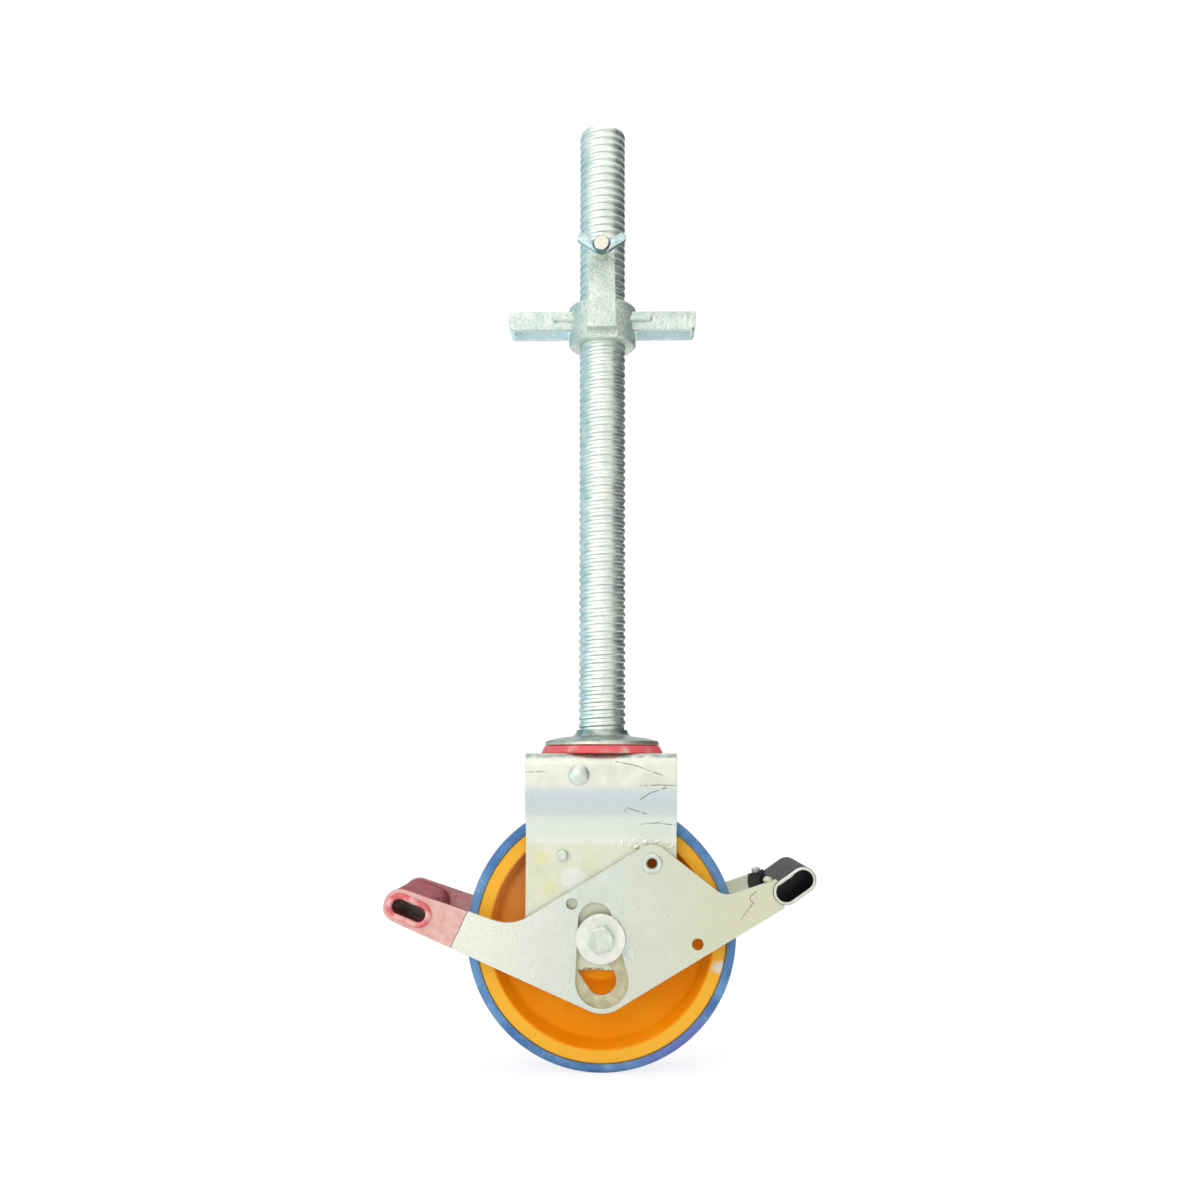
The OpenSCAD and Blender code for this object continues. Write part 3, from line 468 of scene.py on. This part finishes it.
def forkSheet():
    look = forkLook
    material, add, place = startMaterial("zincPressedSheet")
    across, depth, height = (add("SeparateXYZ", {0: place}, i) for i in range(3))
    clouds = patches(add, place, *look["clouds"])
    colour = add("Mix", {0: clouds, 6: look["metal"][0], 7: look["metal"][1]}, 2, data_type="RGBA")
    # painted light: a band of cool shade where the joggle leans back, and a pale highlight band below it
    for ends, tone in look["paintedLightBands"]:
        colour = add("Mix", {0: between(add, height, *ends), 6: colour, 7: tone}, 2, data_type="RGBA")
    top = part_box("fork")[1][2] / mm
    # painted shade in flecks along the crown's bend
    bend = between(add, height, *(top - drop for drop in look["bend"]), look["bendSoft"])
    shadedBend = add("Math", {0: bend, 1: patches(add, place, *look["bendPatches"])}, operation="MULTIPLY")
    colour = add("Mix", {0: shadedBend, 6: colour, 7: look["bendShade"]}, 2, data_type="RGBA")
    upper, lower = (look["crease"] + way * look["creaseSoft"] for way in (1, -1))
    foot = add("MapRange", {0: height, 1: upper * mm, 2: lower * mm, 4: look["footShare"]})
    stains = patches(add, place, *look["stains"])
    stained = add("Mix", {0: stains, 6: look["foot"][0], 7: look["foot"][1]}, 2, data_type="RGBA")
    colour = add("Mix", {0: foot, 6: colour, 7: stained}, 2, data_type="RGBA")
    marked = colour
    for centre, radius in look["rubs"]:
        mask = spot(add, place, centre, radius, *look["rubEdge"])
        marked = add("Mix", {0: mask, 6: marked, 7: look["paler"]}, 2, data_type="RGBA")
    bare = spot(add, place, *look["bare"])
    marked = add("Mix", {0: bare, 6: marked, 7: look["bareTone"]}, 2, data_type="RGBA")
    for line in look["scratches"]:
        mask = scratch(add, place, line, look["scratchWidth"])
        marked = add("Mix", {0: mask, 6: marked, 7: look["scratchTone"]}, 2, data_type="RGBA")
    front = add("Math", {0: depth, 1: 0.0}, operation="LESS_THAN")
    colour = add("Mix", {0: front, 6: colour, 7: marked}, 2, data_type="RGBA")
    grease = scratch(add, place, look["grease"], look["greaseWidth"])
    colour = add("Mix", {0: grease, 6: colour, 7: look["greaseTone"]}, 2, data_type="RGBA")
    pits = add("Math", {0: patches(add, place, *look["pits"]), 1: look["pitShare"]}, operation="MULTIPLY")
    colour = add("Mix", {0: pits, 6: colour, 7: look["pitTone"]}, 2, data_type="RGBA")
    byLever = add("MapRange", {0: across, 1: look["spatterX"][0] * mm, 2: look["spatterX"][1] * mm})
    under, over, soft = look["spatterZ"]
    foldLine = between(add, height, look["crease"] + under, look["crease"] + over, soft)
    spatter = add("Math", {0: foldLine, 1: patches(add, place, *look["spatter"])}, operation="MULTIPLY")
    spatter = add("Math", {0: spatter, 1: byLever}, operation="MULTIPLY")
    grit = add("Math", {0: patches(add, place, *look["grit"]), 1: look["gritShare"]}, operation="MULTIPLY")
    skin = add("Math", {0: spatter, 1: grit}, operation="ADD")
    roughness = add("MapRange", {0: clouds, 3: look["rough"][0], 4: look["rough"][1]})
    return finishShader(material, add, {"Base Color": colour, "Metallic": 0.75, "Roughness": roughness},
                        skin, look["relief"], edge=0.8)


# brushed red paint: pale pink from dust and a painted sheen on faces that look along Y, most on the front
# of the lever, deep rose on the treads and behind, with some fresh streaks; facing is how far a face looks
# along Y, and depth where the dust and painted sheen thin out, in mm
redLook = {"rose": ("#80343a", "#b5474c"), "clouds": (12, 0.35, 0.65), "pale": ("#dfa6a1", "#ecc0b8"),
           "dustAndPaintedLight": (5, 0.3, 0.7), "facing": (0.6, 0.9), "depth": (30, -30), "rearDustAndSheen": 0.6,
           "fresh": "#e35a60", "streaks": (7, 0.64, 0.68), "stretch": (0.4, 1.0, 1.0),
           "brush": (2.5, 0.3, 0.7)}


def redBrushed(add, place):
    look = redLook
    facing = add("SeparateXYZ", {0: add("TexCoord", out=1)}, 1)
    flat = add("MapRange", {0: add("Math", {0: facing}, operation="ABSOLUTE"),
                            1: look["facing"][0], 2: look["facing"][1]})
    front = add("MapRange", {0: add("SeparateXYZ", {0: place}, 1), 1: look["depth"][0] * mm,
                             2: look["depth"][1] * mm, 3: look["rearDustAndSheen"]})
    # dust and painted sheen: pale on faces that look along Y, less towards the rear
    dustAndPaintedLight = add("Math", {0: flat, 1: front}, operation="MULTIPLY")
    clouds = patches(add, place, *look["clouds"])
    rose = add("Mix", {0: clouds, 6: look["rose"][0], 7: look["rose"][1]}, 2, data_type="RGBA")
    dustAndPaintedLightPatch = patches(add, place, *look["dustAndPaintedLight"])
    pale = add("Mix", {0: dustAndPaintedLightPatch, 6: look["pale"][0], 7: look["pale"][1]}, 2, data_type="RGBA")
    paint = add("Mix", {0: dustAndPaintedLight, 6: rose, 7: pale}, 2, data_type="RGBA")
    along = add("Mapping", {"Vector": place, "Scale": look["stretch"]})
    streaks = patches(add, along, *look["streaks"])
    return add("Mix", {0: streaks, 6: paint, 7: look["fresh"]}, 2, data_type="RGBA")


def redTread():
    material, add, place = startMaterial("brushedRedPaint")
    return finishShader(material, add, {"Base Color": redBrushed(add, place), "Roughness": 0.55,
                                        "Specular IOR Level": 0.2},
                        patches(add, place, *redLook["brush"]), depth=0.12)


# the brake tube's rim, where shoes keep the red paint bright and rub it pink
rimLook = {"paint": ("#e0666c", "#efb4ae"), "paler": (9, 0.44, 0.56)}


def redRim():
    material, add, place = startMaterial("rubbedRedPaint")
    paler = patches(add, place, *rimLook["paler"])
    colour = add("Mix", {0: paler, 6: rimLook["paint"][0], 7: rimLook["paint"][1]}, 2, data_type="RGBA")
    return finishShader(material, add, {"Base Color": colour, "Roughness": 0.5},
                        patches(add, place, *redLook["brush"]), depth=0.1, edge=0)


# zinc-plated lever plate: fine satin grey, yellowed towards the release end, with a painted light that makes
# the rear plate's yellow paler, paler towards the brake end, brushed red up to a slanted line there, and
# sprayed black round the release tube on the rear plate; places in mm in XZ, the yellowing and the paler
# stretch are ends in X, and the seam is its two sides of the line and soft edge
leverLook = {"metal": ("#d4d9ce", "#dbe0d6"), "clouds": (12, 0.35, 0.65),
             "aged": (5, 95), "agedShare": 0.9, "yellowedAndRearLit": ("#f1f0d4", "#d8d8b8"),
             "paler": (-15, -85), "paleTone": "#ecede0",
             "grain": (1.3, 0.35, 0.65, 2.0), "grainShare": 0.3, "grainTone": "#b4bcae",
             "specks": (1.6, 0.68, 0.73), "speckShare": 0.6, "speck": "#84857a",
             "scratches": [[(113.1, 134.6), (108.3, 130.2), (108.6, 127.7), (110.5, 125.8), (101.8, 114.6)],
                           [(111.9, 130.7), (113.9, 129.1)]],
             "scratchWidth": 0.4, "scratchTone": "#5f5f52",
             "paintLine": ((-96.3, 121.3), (-109.3, 93.5)), "paintGrain": 5, "paintRagged": 1.0,
             "paintFade": 0.5, "seam": (-0.5, 0.4, 0.3), "seamTone": "#80796e",
             "sprayReach": (20.0, 19.0), "spray": "#2d312e", "rough": (0.44, 0.58), "metallic": (0.75, 0.0)}


def leverPlate():
    look = leverLook
    material, add, place = startMaterial("zincLeverPlate")
    along, depth = (add("SeparateXYZ", {0: place}, i) for i in (0, 1))
    clouds = patches(add, place, *look["clouds"])
    colour = add("Mix", {0: clouds, 6: look["metal"][0], 7: look["metal"][1]}, 2, data_type="RGBA")
    start, full = look["aged"]
    aged = add("MapRange", {0: along, 1: start * mm, 2: full * mm, 4: look["agedShare"]})
    front = add("Math", {0: depth, 1: 0.0}, operation="LESS_THAN")
    # yellowing, with a painted light making the rear plate's tone paler than the front's
    yellowedAndRearLit = add("Mix", {0: front, 6: look["yellowedAndRearLit"][0], 7: look["yellowedAndRearLit"][1]}, 2, data_type="RGBA")
    colour = add("Mix", {0: aged, 6: colour, 7: yellowedAndRearLit}, 2, data_type="RGBA")
    # paler towards the brake end, by place along X
    start, full = look["paler"]
    paler = add("MapRange", {0: along, 1: start * mm, 2: full * mm})
    colour = add("Mix", {0: paler, 6: colour, 7: look["paleTone"]}, 2, data_type="RGBA")
    grain = add("Math", {0: patches(add, place, *look["grain"]), 1: look["grainShare"]}, operation="MULTIPLY")
    colour = add("Mix", {0: grain, 6: colour, 7: look["grainTone"]}, 2, data_type="RGBA")
    specks = add("Math", {0: patches(add, place, *look["specks"]), 1: look["speckShare"]},
                 operation="MULTIPLY")
    colour = add("Mix", {0: specks, 6: colour, 7: look["speck"]}, 2, data_type="RGBA")
    for line in look["scratches"]:
        mask = scratch(add, place, line, look["scratchWidth"])
        mask = add("Math", {0: mask, 1: front}, operation="MULTIPLY")
        colour = add("Mix", {0: mask, 6: colour, 7: look["scratchTone"]}, 2, data_type="RGBA")
    upper, lower = (np.array(point) * mm for point in look["paintLine"])
    line = (upper - lower) / np.linalg.norm(upper - lower)
    across = add("VectorMath", {0: place, 1: (-line[1], 0.0, line[0])}, 1, operation="DOT_PRODUCT")
    edge = float(-line[1] * lower[0] + line[0] * lower[1])
    noise = add("TexNoise", {"Vector": place, "Scale": 1 / (look["paintGrain"] * mm), "Detail": 4.0})
    shift = add("MapRange", {0: noise, 3: -look["paintRagged"] * mm, 4: look["paintRagged"] * mm})
    ragged = add("Math", {0: across, 1: shift}, operation="ADD")
    before, behind, soft = look["seam"]
    seam = between(add, ragged, edge / mm + before, edge / mm + behind, soft)
    colour = add("Mix", {0: seam, 6: colour, 7: look["seamTone"]}, 2, data_type="RGBA")
    red = add("MapRange", {0: ragged, 1: edge, 2: edge + look["paintFade"] * mm})
    colour = add("Mix", {0: red, 6: colour, 7: redBrushed(add, place)}, 2, data_type="RGBA")
    start, full = look["sprayReach"]
    near = add("MapRange", {0: ovalReach(add, place, treads["release"]), 1: start * mm, 2: full * mm})
    rear = add("Math", {0: 1.0, 1: front}, operation="SUBTRACT")
    black = add("Math", {0: near, 1: rear}, operation="MULTIPLY")
    colour = add("Mix", {0: black, 6: colour, 7: look["spray"]}, 2, data_type="RGBA")
    painted = add("Math", {0: red, 1: black}, operation="MAXIMUM")
    roughness, metallic = (add("MapRange", {0: painted, 3: look[part][0], 4: look[part][1]})
                           for part in ("rough", "metallic"))
    return finishShader(material, add, {"Base Color": colour, "Roughness": roughness, "Metallic": metallic},
                        patches(add, place, *plateLook["grit"]), plateLook["relief"])


# black stoved paint on the release tube, grey outside from wear and a painted sheen, and clean black inside
blackLook = {"paint": ("#030b0c", "#3b4235"), "wearAndSheen": (6, 0.3, 0.7), "rough": (0.75, 0.45),
             "specular": 0.06, "brush": (3, 0.3, 0.7), "relief": 0.08}


def blackTread():
    look = blackLook
    material, add, place = startMaterial("wornBlackPaint")
    skin = (treads["short"] - treads["wall"]) / 2 * mm
    outside = add("Math", {0: ovalReach(add, place, treads["release"]), 1: skin}, operation="GREATER_THAN")
    # grey patches outside: wear and a painted sheen
    wearAndSheen = add("Math", {0: outside, 1: patches(add, place, *look["wearAndSheen"])}, operation="MULTIPLY")
    colour = add("Mix", {0: wearAndSheen, 6: look["paint"][0], 7: look["paint"][1]}, 2, data_type="RGBA")
    roughness = add("MapRange", {0: outside, 3: look["rough"][0], 4: look["rough"][1]})
    return finishShader(material, add, {"Base Color": colour, "Specular IOR Level": look["specular"],
                                        "Roughness": roughness},
                        patches(add, place, *look["brush"]), look["relief"])


# moulded nylon core: saturated orange with a dull skin, paler on the rim's face, dust and painted shade high
# on the left near the fork, and a white scuff on the rim; a spot is its centre in XZ, radius and soft edge
# in mm, and its raggedness
coreLook = {"web": ("#ff9604", "#ffa010"), "clouds": (40, 0.35, 0.65), "rough": (0.42, 0.55),
            "specular": 0.08, "axleHeight": 100.0, "rimRadius": 83.5, "rimSoft": 0.5, "rim": "#ffbc3c",
            "dustAndPaintedLightPatch": ((-40.0, 150.0), 55, 35, 0.2), "dustAndShadeShare": 0.6, "dustAndPaintedLight": "#dd9468",
            "scuffed": ((86.8, 77.2), 4.5, 1.5, 0.7), "scuff": "#efe2d2",
            "skin": (4, 0.3, 0.7), "relief": 0.03}


def orangeNylon():
    look = coreLook
    material, add, place = startMaterial("mouldedOrangeNylon")
    flat = add("VectorMath", {0: place, 1: (1.0, 0.0, 1.0)}, operation="MULTIPLY")
    radius = add("VectorMath", {0: flat, 1: (0.0, 0.0, look["axleHeight"] * mm)}, 1, operation="DISTANCE")
    inner, outer = (look["rimRadius"] + way * look["rimSoft"] for way in (-1, 1))
    rim = add("MapRange", {0: radius, 1: inner * mm, 2: outer * mm})
    clouds = patches(add, place, *look["clouds"])
    web = add("Mix", {0: clouds, 6: look["web"][0], 7: look["web"][1]}, 2, data_type="RGBA")
    # dust and painted shade high on the left, near the fork
    dustAndPaintedLight = add("Math", {0: spot(add, place, *look["dustAndPaintedLightPatch"]), 1: look["dustAndShadeShare"]}, operation="MULTIPLY")
    web = add("Mix", {0: dustAndPaintedLight, 6: web, 7: look["dustAndPaintedLight"]}, 2, data_type="RGBA")
    colour = add("Mix", {0: rim, 6: web, 7: look["rim"]}, 2, data_type="RGBA")
    scuff = spot(add, place, *look["scuffed"])
    colour = add("Mix", {0: scuff, 6: colour, 7: look["scuff"]}, 2, data_type="RGBA")
    roughness = add("MapRange", {0: clouds, 3: look["rough"][0], 4: look["rough"][1]})
    return finishShader(material, add, {"Base Color": colour, "Specular IOR Level": look["specular"],
                                        "Roughness": roughness},
                        patches(add, place, *look["skin"]), look["relief"], edge=0.8)


# cast polyurethane tyre: chalky blue, violet low on the right, paler where it was scuffed in rolling
tyreLook = {"blue": ("#4675ad", "#6b9acb"), "clouds": (18, 0.35, 0.65),
            "stained": ((55.0, 20.0), 34.0, 10.0), "stainShare": 0.75, "violet": "#6a78c4",
            "scuffs": (9, 0.62, 0.75, 4.0, 0.6), "scuffShare": 0.45, "scuff": "#a7c0da",
            "skin": (3, 0.3, 0.7), "relief": 0.12}


def bluePolyurethane():
    look = tyreLook
    material, add, place = startMaterial("castBluePolyurethane")
    clouds = patches(add, place, *look["clouds"])
    colour = add("Mix", {0: clouds, 6: look["blue"][0], 7: look["blue"][1]}, 2, data_type="RGBA")
    stain = add("Math", {0: spot(add, place, *look["stained"]), 1: look["stainShare"]}, operation="MULTIPLY")
    colour = add("Mix", {0: stain, 6: colour, 7: look["violet"]}, 2, data_type="RGBA")
    scuffs = add("Math", {0: patches(add, place, *look["scuffs"]), 1: look["scuffShare"]},
                 operation="MULTIPLY")
    colour = add("Mix", {0: scuffs, 6: colour, 7: look["scuff"]}, 2, data_type="RGBA")
    return finishShader(material, add, {"Base Color": colour, "Roughness": 0.6, "Specular IOR Level": 0.3},
                        patches(add, place, *look["skin"]), look["relief"], edge=0)


# moulded red seal, rubbed pale over part of its edge
sealLook = {"rubber": ("#ea5a60", "#dcaaa4"), "paler": (30, 0.56, 0.64, 2.0), "skin": (3, 0.3, 0.7)}


def redSeal():
    material, add, place = startMaterial("mouldedRedSeal")
    paler = patches(add, place, *sealLook["paler"])
    colour = add("Mix", {0: paler, 6: sealLook["rubber"][0], 7: sealLook["rubber"][1]}, 2, data_type="RGBA")
    return finishShader(material, add, {"Base Color": colour, "Roughness": 0.45},
                        patches(add, place, *sealLook["skin"]), depth=0.05)


# cast rubber block, matt and nearly black
rubberLook = {"rubber": ("#1b1b1b", "#2c2b29"), "clouds": (6, 0.4, 0.6), "skin": (1.5, 0.3, 0.7)}


def blackRubber():
    material, add, place = startMaterial("castBlackRubber")
    clouds = patches(add, place, *rubberLook["clouds"])
    dark, pale = rubberLook["rubber"]
    colour = add("Mix", {0: clouds, 6: dark, 7: pale}, 2, data_type="RGBA")
    return finishShader(material, add, {"Base Color": colour, "Roughness": 0.8},
                        patches(add, place, *rubberLook["skin"]), depth=0.08)


# rolled thread: the radius drops by a flat-bottomed notch once per pitch, and the phase of the notch turns
# with the angle, so the notch climbs one pitch for each turn to the right; notch and flank are shares of
# a pitch, the other sizes are in mm
thread = {"pitch": 6.0, "depth": 1.1, "notch": 0.25, "flank": 0.2, "outer": 18.0, "bore": 13.0,
          "columns": 64, "rowsPerPitch": 16, "fade": 3.0, "chamfer": 1.6, "boreEdge": 0.4}


def threadedSpindle():
    low, high = (corner[2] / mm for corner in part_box("spindle"))
    bore, edge = thread["bore"], thread["boreEdge"]
    rows = int((high - low) / thread["pitch"] * thread["rowsPerPitch"])
    height = np.linspace(low, high - thread["chamfer"], rows)[:, None]
    angle = np.linspace(0, 2 * np.pi, thread["columns"], endpoint=False)[None, :]
    phase = (height / thread["pitch"] - angle / (2 * np.pi)) % 1.0
    notch = np.clip((thread["notch"] - np.abs(phase - 0.5)) / thread["flank"] + 0.5, 0, 1)
    notch = notch ** 2 * (3 - 2 * notch)
    ends = np.clip(np.minimum(height - low, high - height) / thread["fade"], 0, 1)
    groove = np.maximum(notch, 1 - ends)
    radius = thread["outer"] - thread["depth"] * groove
    wall = np.stack([radius * np.cos(angle), radius * np.sin(angle), height + 0 * angle], axis=-1)
    rims = [(thread["outer"] - thread["depth"] - thread["chamfer"], high), (bore + edge, high),
            (bore, high - edge), (bore, low)]
    ring = np.stack([np.cos(angle[0]), np.sin(angle[0])], axis=-1)
    inside = np.stack([np.column_stack([r * ring, np.full(len(ring), z)]) for r, z in rims])
    piece = gridPiece("threadedSpindle", np.concatenate([wall, inside]) * mm, closeRows=True)
    # the flank attribute marks where the thread's finish paints shade
    flank = np.concatenate([4 * groove * (1 - groove), np.zeros(inside.shape[:2])])
    piece.data.attributes.new("flank", "FLOAT", "POINT").data.foreach_set("value", flank.ravel())
    return piece


# a closed section of points (way out from the middle line, Y) carried round an oval tube; half of the oval's
# points belong to each cap, and the straight sides lie between the halves
def ovalPiece(name, tread, section):
    t = np.linspace(0, 2 * np.pi, treads["rows"], endpoint=False) + np.pi / treads["rows"]
    outward = np.stack([np.cos(t), np.sin(t)], axis=-1)
    caps = np.sign(outward[:, :1]) * np.array([[(treads["long"] - treads["short"]) / 2, 0.0]])
    turn = np.radians(tread["angle"])
    spin = np.array([[np.cos(turn), np.sin(turn)], [-np.sin(turn), np.cos(turn)]])
    middle, normal = caps @ spin + np.array(tread["centre"]), outward @ spin
    out, depth = section.T
    points = np.stack([middle[:, :1] + normal[:, :1] * out, np.broadcast_to(depth, (len(t), len(out))),
                       middle[:, 1:] + normal[:, 1:] * out], axis=-1)
    return gridPiece(name, points * mm, closeRows=True)


# rolled lip on a tube's mouth: a circle about a point of the wall
def tubeLip(name, tread, depth):
    around = np.linspace(0, 2 * np.pi, treads["columns"], endpoint=False)
    wall = (treads["short"] - treads["wall"]) / 2 - tread["curl"]
    section = np.column_stack([wall + tread["lip"] * np.cos(around), depth + tread["lip"] * np.sin(around)])
    return ovalPiece(name, tread, section)


# thick painted sleeve that fills the brake tread out to the ends of the plates: a slab with chamfered edges,
# in mm; support is where a ring of points holds the edge crisp
sleeve = {"out": 11.6, "in": 9.3, "end": 37.7, "chamfer": 0.4, "support": 1.6}


def treadSleeve():
    out, end, cut = sleeve["out"], sleeve["end"], sleeve["chamfer"]
    half = np.array([(sleeve["in"], end), (out - cut, end), (out, end - cut), (out, end - sleeve["support"])])
    section = np.concatenate([half, half[::-1] * np.array([1, -1])])
    return ovalPiece("brakeSleeve", treads["brake"], section)


# weld blobs where the release tube meets the two plates: a ball squeezed along each axis, its skin rippled
# round it, with its place and half sizes in mm; waves are counted round the ball and up it
weld = {"centre": (121.6, 38.2, 142.3), "sizes": (3.4, 2.8, 2.4), "ripple": 0.07, "waves": (3, 2),
        "rows": 24, "columns": 32}


def weldBlob(name, way):
    rise = np.linspace(0, np.pi, weld["rows"])[:, None]
    around = np.linspace(0, 2 * np.pi, weld["columns"], endpoint=False)[None, :]
    wave = weld["waves"][0] * around + weld["waves"][1] * rise
    swell = 1 + weld["ripple"] * np.sin(wave) * np.sin(rise)
    ball = np.stack([np.sin(rise) * np.cos(around), np.sin(rise) * np.sin(around),
                     np.cos(rise) + 0 * around], axis=-1)
    skin = ball * swell[..., None] * np.array(weld["sizes"])
    return gridPiece(name, (np.array(weld["centre"]) * np.array([1, way, 1]) + skin) * mm)


placeCamera(cameraView)
lightStudio()
print("castor: camera and studio set")

lever = leverPlate()
washer = zincPlate("paleZincWasher")
bareRim = zincPlate("bareTubeRim")
looks = {"bright_zinc": zincPlate("brightZincPlate"), "cast_zinc": zincCasting(),
         "black_paint": blackTread(), "red_paint": redTread(), "plain_steel": zincPlate("oiledPlainSteel"),
         "yellow_zinc": zincPlate("yellowPassivatedZinc"), "red_seal": redSeal(),
         "brake_rubber": blackRubber(), "orange_core": orangeNylon(), "blue_tyre": bluePolyurethane()}
ownLooks = {"fork": forkSheet(), "lever_plate_front": lever, "lever_plate_rear": lever,
            "swivel_flange": zincForging(), "wing_bolt": zincScrew(),
            "washer_front": washer, "washer_rear": washer}
for name, piece in nodes.items():
    piece.data.materials.clear()
    piece.data.materials.append(ownLooks.get(name, looks[slotOf[name]]))
print("castor: finishes on", len(nodes), "nodes")

dress(threadedSpindle(), zincThread(), "spindle", slotOf["spindle"], "spindle")
for key, rim in (("brake", redRim()), ("release", bareRim)):
    for side, way in (("Front", -1), ("Rear", 1)):
        lip = tubeLip(key + "Lip" + side, treads[key], way * treads["end"])
        dress(lip, rim, "lever", slotOf[key + "_tread"])
dress(treadSleeve(), looks["red_paint"], "lever", slotOf["brake_tread"])
for side, way in (("front", -1), ("rear", 1)):
    dress(weldBlob(side + "Weld", way), bareRim, "lever", slotOf["lever_plate_" + side])
print("castor: thread, lips, sleeve and welds made")

bpy.context.scene.view_settings.view_transform = "Standard"
